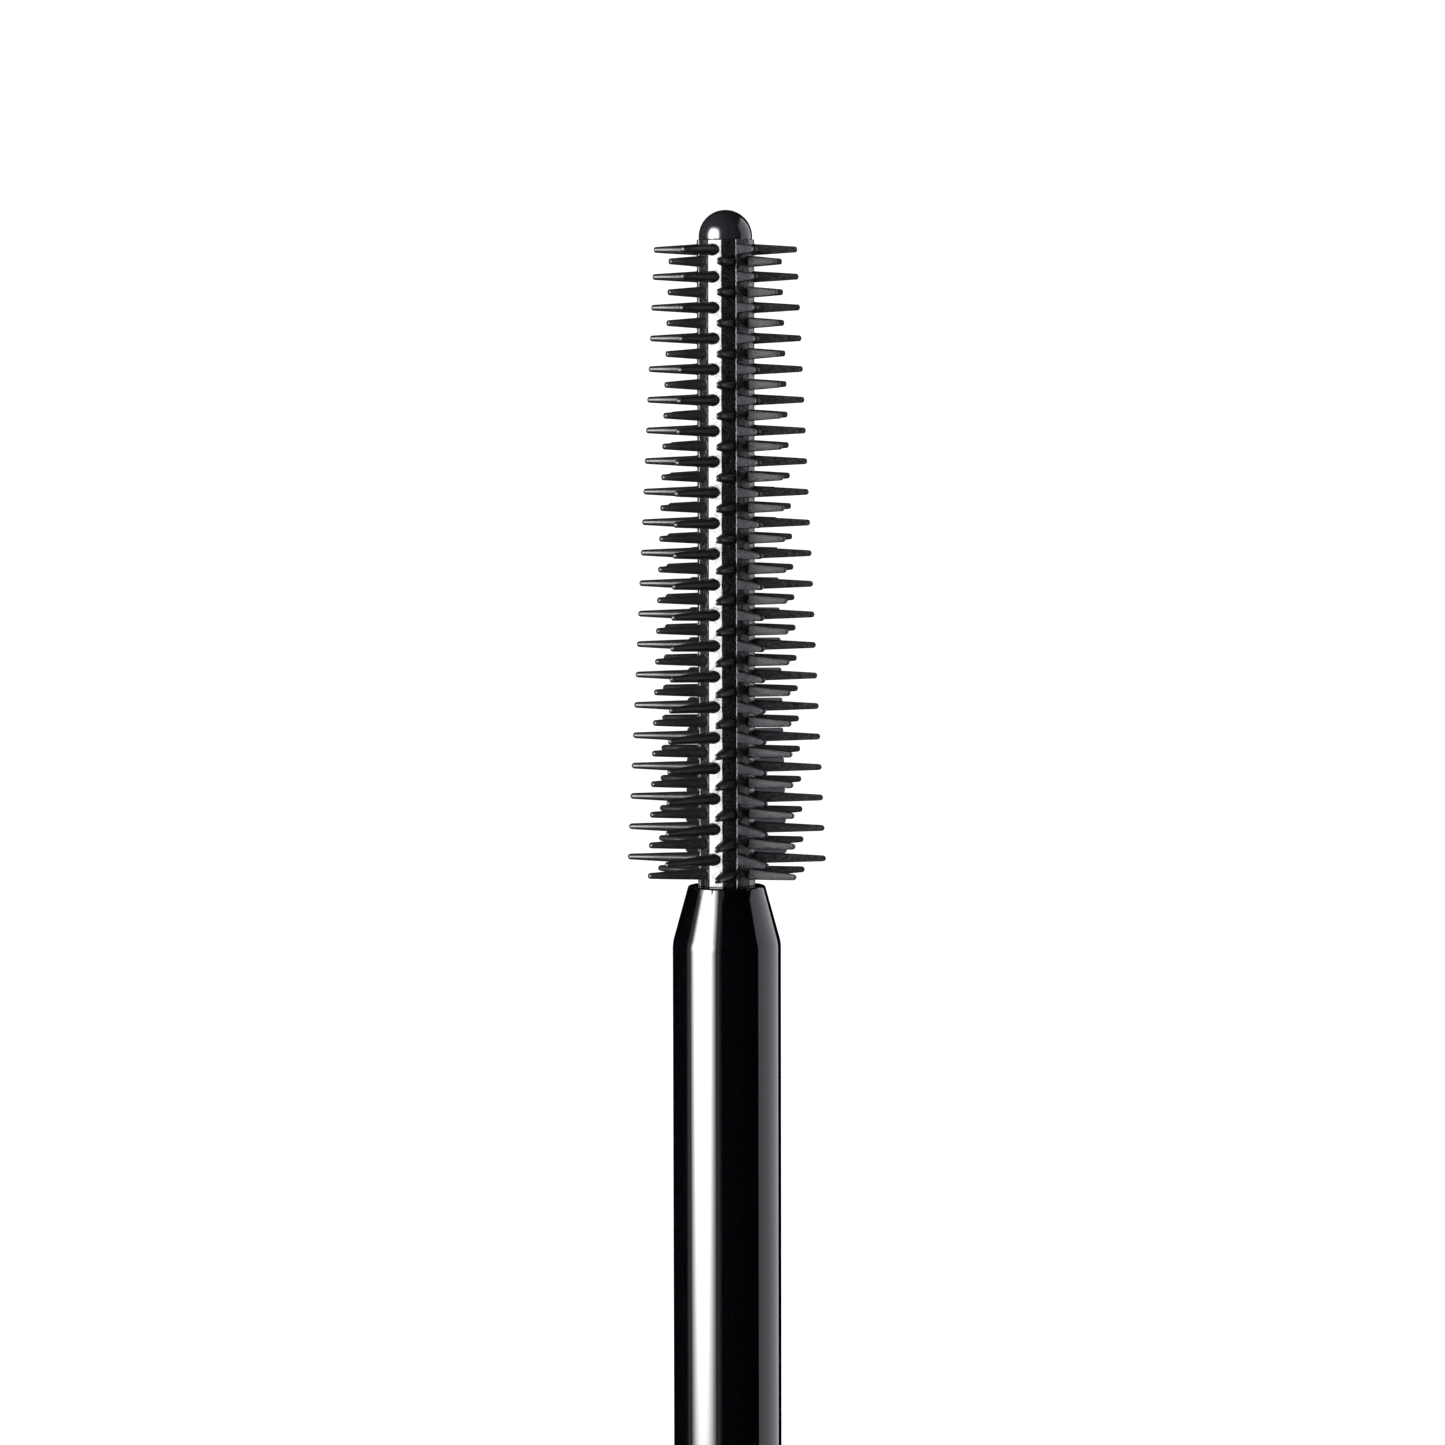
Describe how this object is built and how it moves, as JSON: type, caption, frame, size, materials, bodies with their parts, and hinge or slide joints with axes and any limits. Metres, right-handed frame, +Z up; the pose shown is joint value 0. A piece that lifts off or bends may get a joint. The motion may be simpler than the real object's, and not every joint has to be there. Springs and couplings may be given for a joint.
{
  "type": "mascara applicator",
  "caption": "Mascara applicator wand: a moulded brush with straight rows of long and short cone bristles on a glossy stem, held by a screw cap that serves as handle.",
  "frame": {"origin": "centre of the cap's flat closed end, on which the wand stands", "axes": "+Z up along the wand's axis, from the cap to the brush's tip; -Y is the front, +X is to the right as seen from the front"},
  "size_m": [0.0164, 0.0164, 0.1161],
  "materials": {
    "cap": "black ABS, moulded with a high gloss",
    "weight": "turned mild steel slug",
    "closure": "black polypropylene, plain from the mould",
    "washer": "natural foamed polyethylene",
    "stem": "black POM, moulded in a polished mould",
    "core": "black polypropylene, moulded in a polished mould",
    "bristle": "black thermoplastic elastomer, satin"
  },
  "bodies": {
    "root": {"cap_shell": "cap", "cap_end_disc": "cap", "cap_weight": "weight", "inner_cap": "closure", "seal_washer": "washer", "stem": "stem", "brush_core": "core", "bristle_sleeve": "bristle", "bristle_row_01": "bristle", "bristle_row_02": "bristle", "bristle_row_03": "bristle", "bristle_row_04": "bristle", "bristle_row_05": "bristle", "bristle_row_06": "bristle", "bristle_row_07": "bristle", "bristle_row_08": "bristle", "bristle_row_09": "bristle", "bristle_row_10": "bristle", "bristle_row_11": "bristle", "bristle_row_12": "bristle"}
  },
  "joints": []
}
